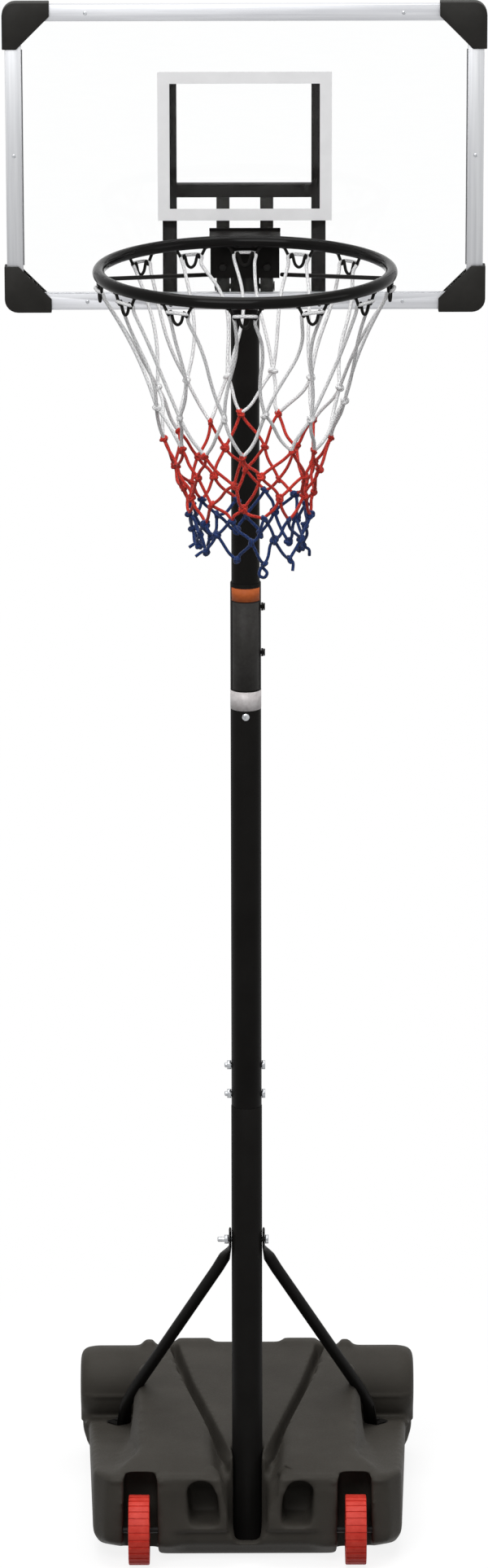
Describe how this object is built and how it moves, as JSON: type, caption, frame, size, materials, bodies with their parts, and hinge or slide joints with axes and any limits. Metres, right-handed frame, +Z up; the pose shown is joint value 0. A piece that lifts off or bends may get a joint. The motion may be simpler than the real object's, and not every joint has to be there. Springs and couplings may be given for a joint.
{
  "type": "basketball stand",
  "caption": "Portable basketball stand with a wheeled ballast tank, braced telescopic pole, framed clear backboard, hooked ring and tied net.",
  "frame": {"origin": "point on the tank's underside below the pole's axis, on the floor", "axes": "+X to the right seen from the front, +Y to the back (the ring faces -Y), +Z up along the pole"},
  "size_m": [0.718, 0.9398, 2.466],
  "materials": {
    "tank": "blow-moulded, fine matte grain",
    "fill": null,
    "pole": "satin black powder coat",
    "steel": "zinc plated",
    "gloss": "gloss black paint",
    "aluminium": "drawn, satin",
    "clear": "clear sheet",
    "capplastic": "moulded matte black",
    "vinyl": "printed pale grey band",
    "wheelred": "moulded red",
    "white": "braided cord",
    "red": "braided cord",
    "blue": "braided cord"
  },
  "bodies": {
    "stand": {"base_tank": "tank", "ballast_fill": "fill", "axle_left": "steel", "axle_right": "steel", "strut_left": "pole", "strut_right": "pole", "strut_screw_left": "steel", "strut_screw_right": "steel", "strut_bolt": "steel", "strut_nut": "steel", "foot_cross_pin": "steel", "lower_pole": "pole", "middle_pole": "pole", "joint_bolt_upper": "steel", "joint_bolt_lower": "steel", "joint_nut_upper": "steel", "joint_nut_lower": "steel", "weld_nut_upper": "pole", "weld_nut_lower": "pole"},
    "head": {"upper_pole": "pole", "pole_cap": "capplastic", "back_frame": "pole", "frame_bolt_upper": "steel", "frame_bolt_lower": "steel", "frame_nut_upper": "steel", "frame_nut_lower": "steel", "frame_screw_left": "steel", "frame_screw_right": "steel", "frame_pad_left": "capplastic", "frame_pad_right": "capplastic", "spacer_left": "capplastic", "spacer_right": "capplastic", "board_sheet": "clear", "target_square": "vinyl", "bar_top": "aluminium", "bar_bottom": "aluminium", "bar_left": "aluminium", "bar_right": "aluminium", "corner_top_left": "capplastic", "corner_top_right": "capplastic", "corner_bottom_left": "capplastic", "corner_bottom_right": "capplastic", "rim_bracket": "gloss", "rim_bolt_1": "steel", "rim_bolt_2": "steel", "rim_bolt_3": "steel", "rim_bolt_4": "steel", "rim_ring": "gloss", "brace_left": "gloss", "brace_right": "gloss", "net_white": "white", "net_red": "red", "net_blue": "blue"},
    "wheel_left_body": {"wheel_left": "wheelred"},
    "wheel_right_body": {"wheel_right": "wheelred"},
    "fill_cap_body": {"fill_cap": "capplastic"},
    "clamp_screw_upper_body": {"clamp_screw_upper": "pole"},
    "clamp_screw_lower_body": {"clamp_screw_lower": "pole"},
    "lock_screw_body": {"lock_screw": "steel"}
  },
  "joints": [
    {"name": "height_slide", "type": "slide", "parent": "stand", "child": "head", "axis": [0, 0, 1], "range_m": [-0.42, 0]},
    {"name": "wheel_left_spin", "type": "hinge", "parent": "stand", "child": "wheel_left_body", "pos_m": [-0.17, -0.083, 0.0562], "axis": [1, 0, 0], "continuous": true},
    {"name": "wheel_right_spin", "type": "hinge", "parent": "stand", "child": "wheel_right_body", "pos_m": [0.17, -0.083, 0.0562], "axis": [1, 0, 0], "continuous": true},
    {"name": "fill_cap_turn", "type": "hinge", "parent": "stand", "child": "fill_cap_body", "pos_m": [0, 0.4003, 0.105], "axis": [0, 1, 0], "range_deg": [0, 360]},
    {"name": "clamp_screw_upper_turn", "type": "hinge", "parent": "stand", "child": "clamp_screw_upper_body", "pos_m": [0, 0, 1.533], "axis": [1, 0, 0], "range_deg": [0, 360]},
    {"name": "clamp_screw_lower_turn", "type": "hinge", "parent": "stand", "child": "clamp_screw_lower_body", "pos_m": [0, 0, 1.461], "axis": [1, 0, 0], "range_deg": [0, 360]},
    {"name": "lock_screw_turn", "type": "hinge", "parent": "stand", "child": "lock_screw_body", "pos_m": [0, 0, 1.365], "axis": [0, -1, 0], "range_deg": [0, 360]}
  ]
}
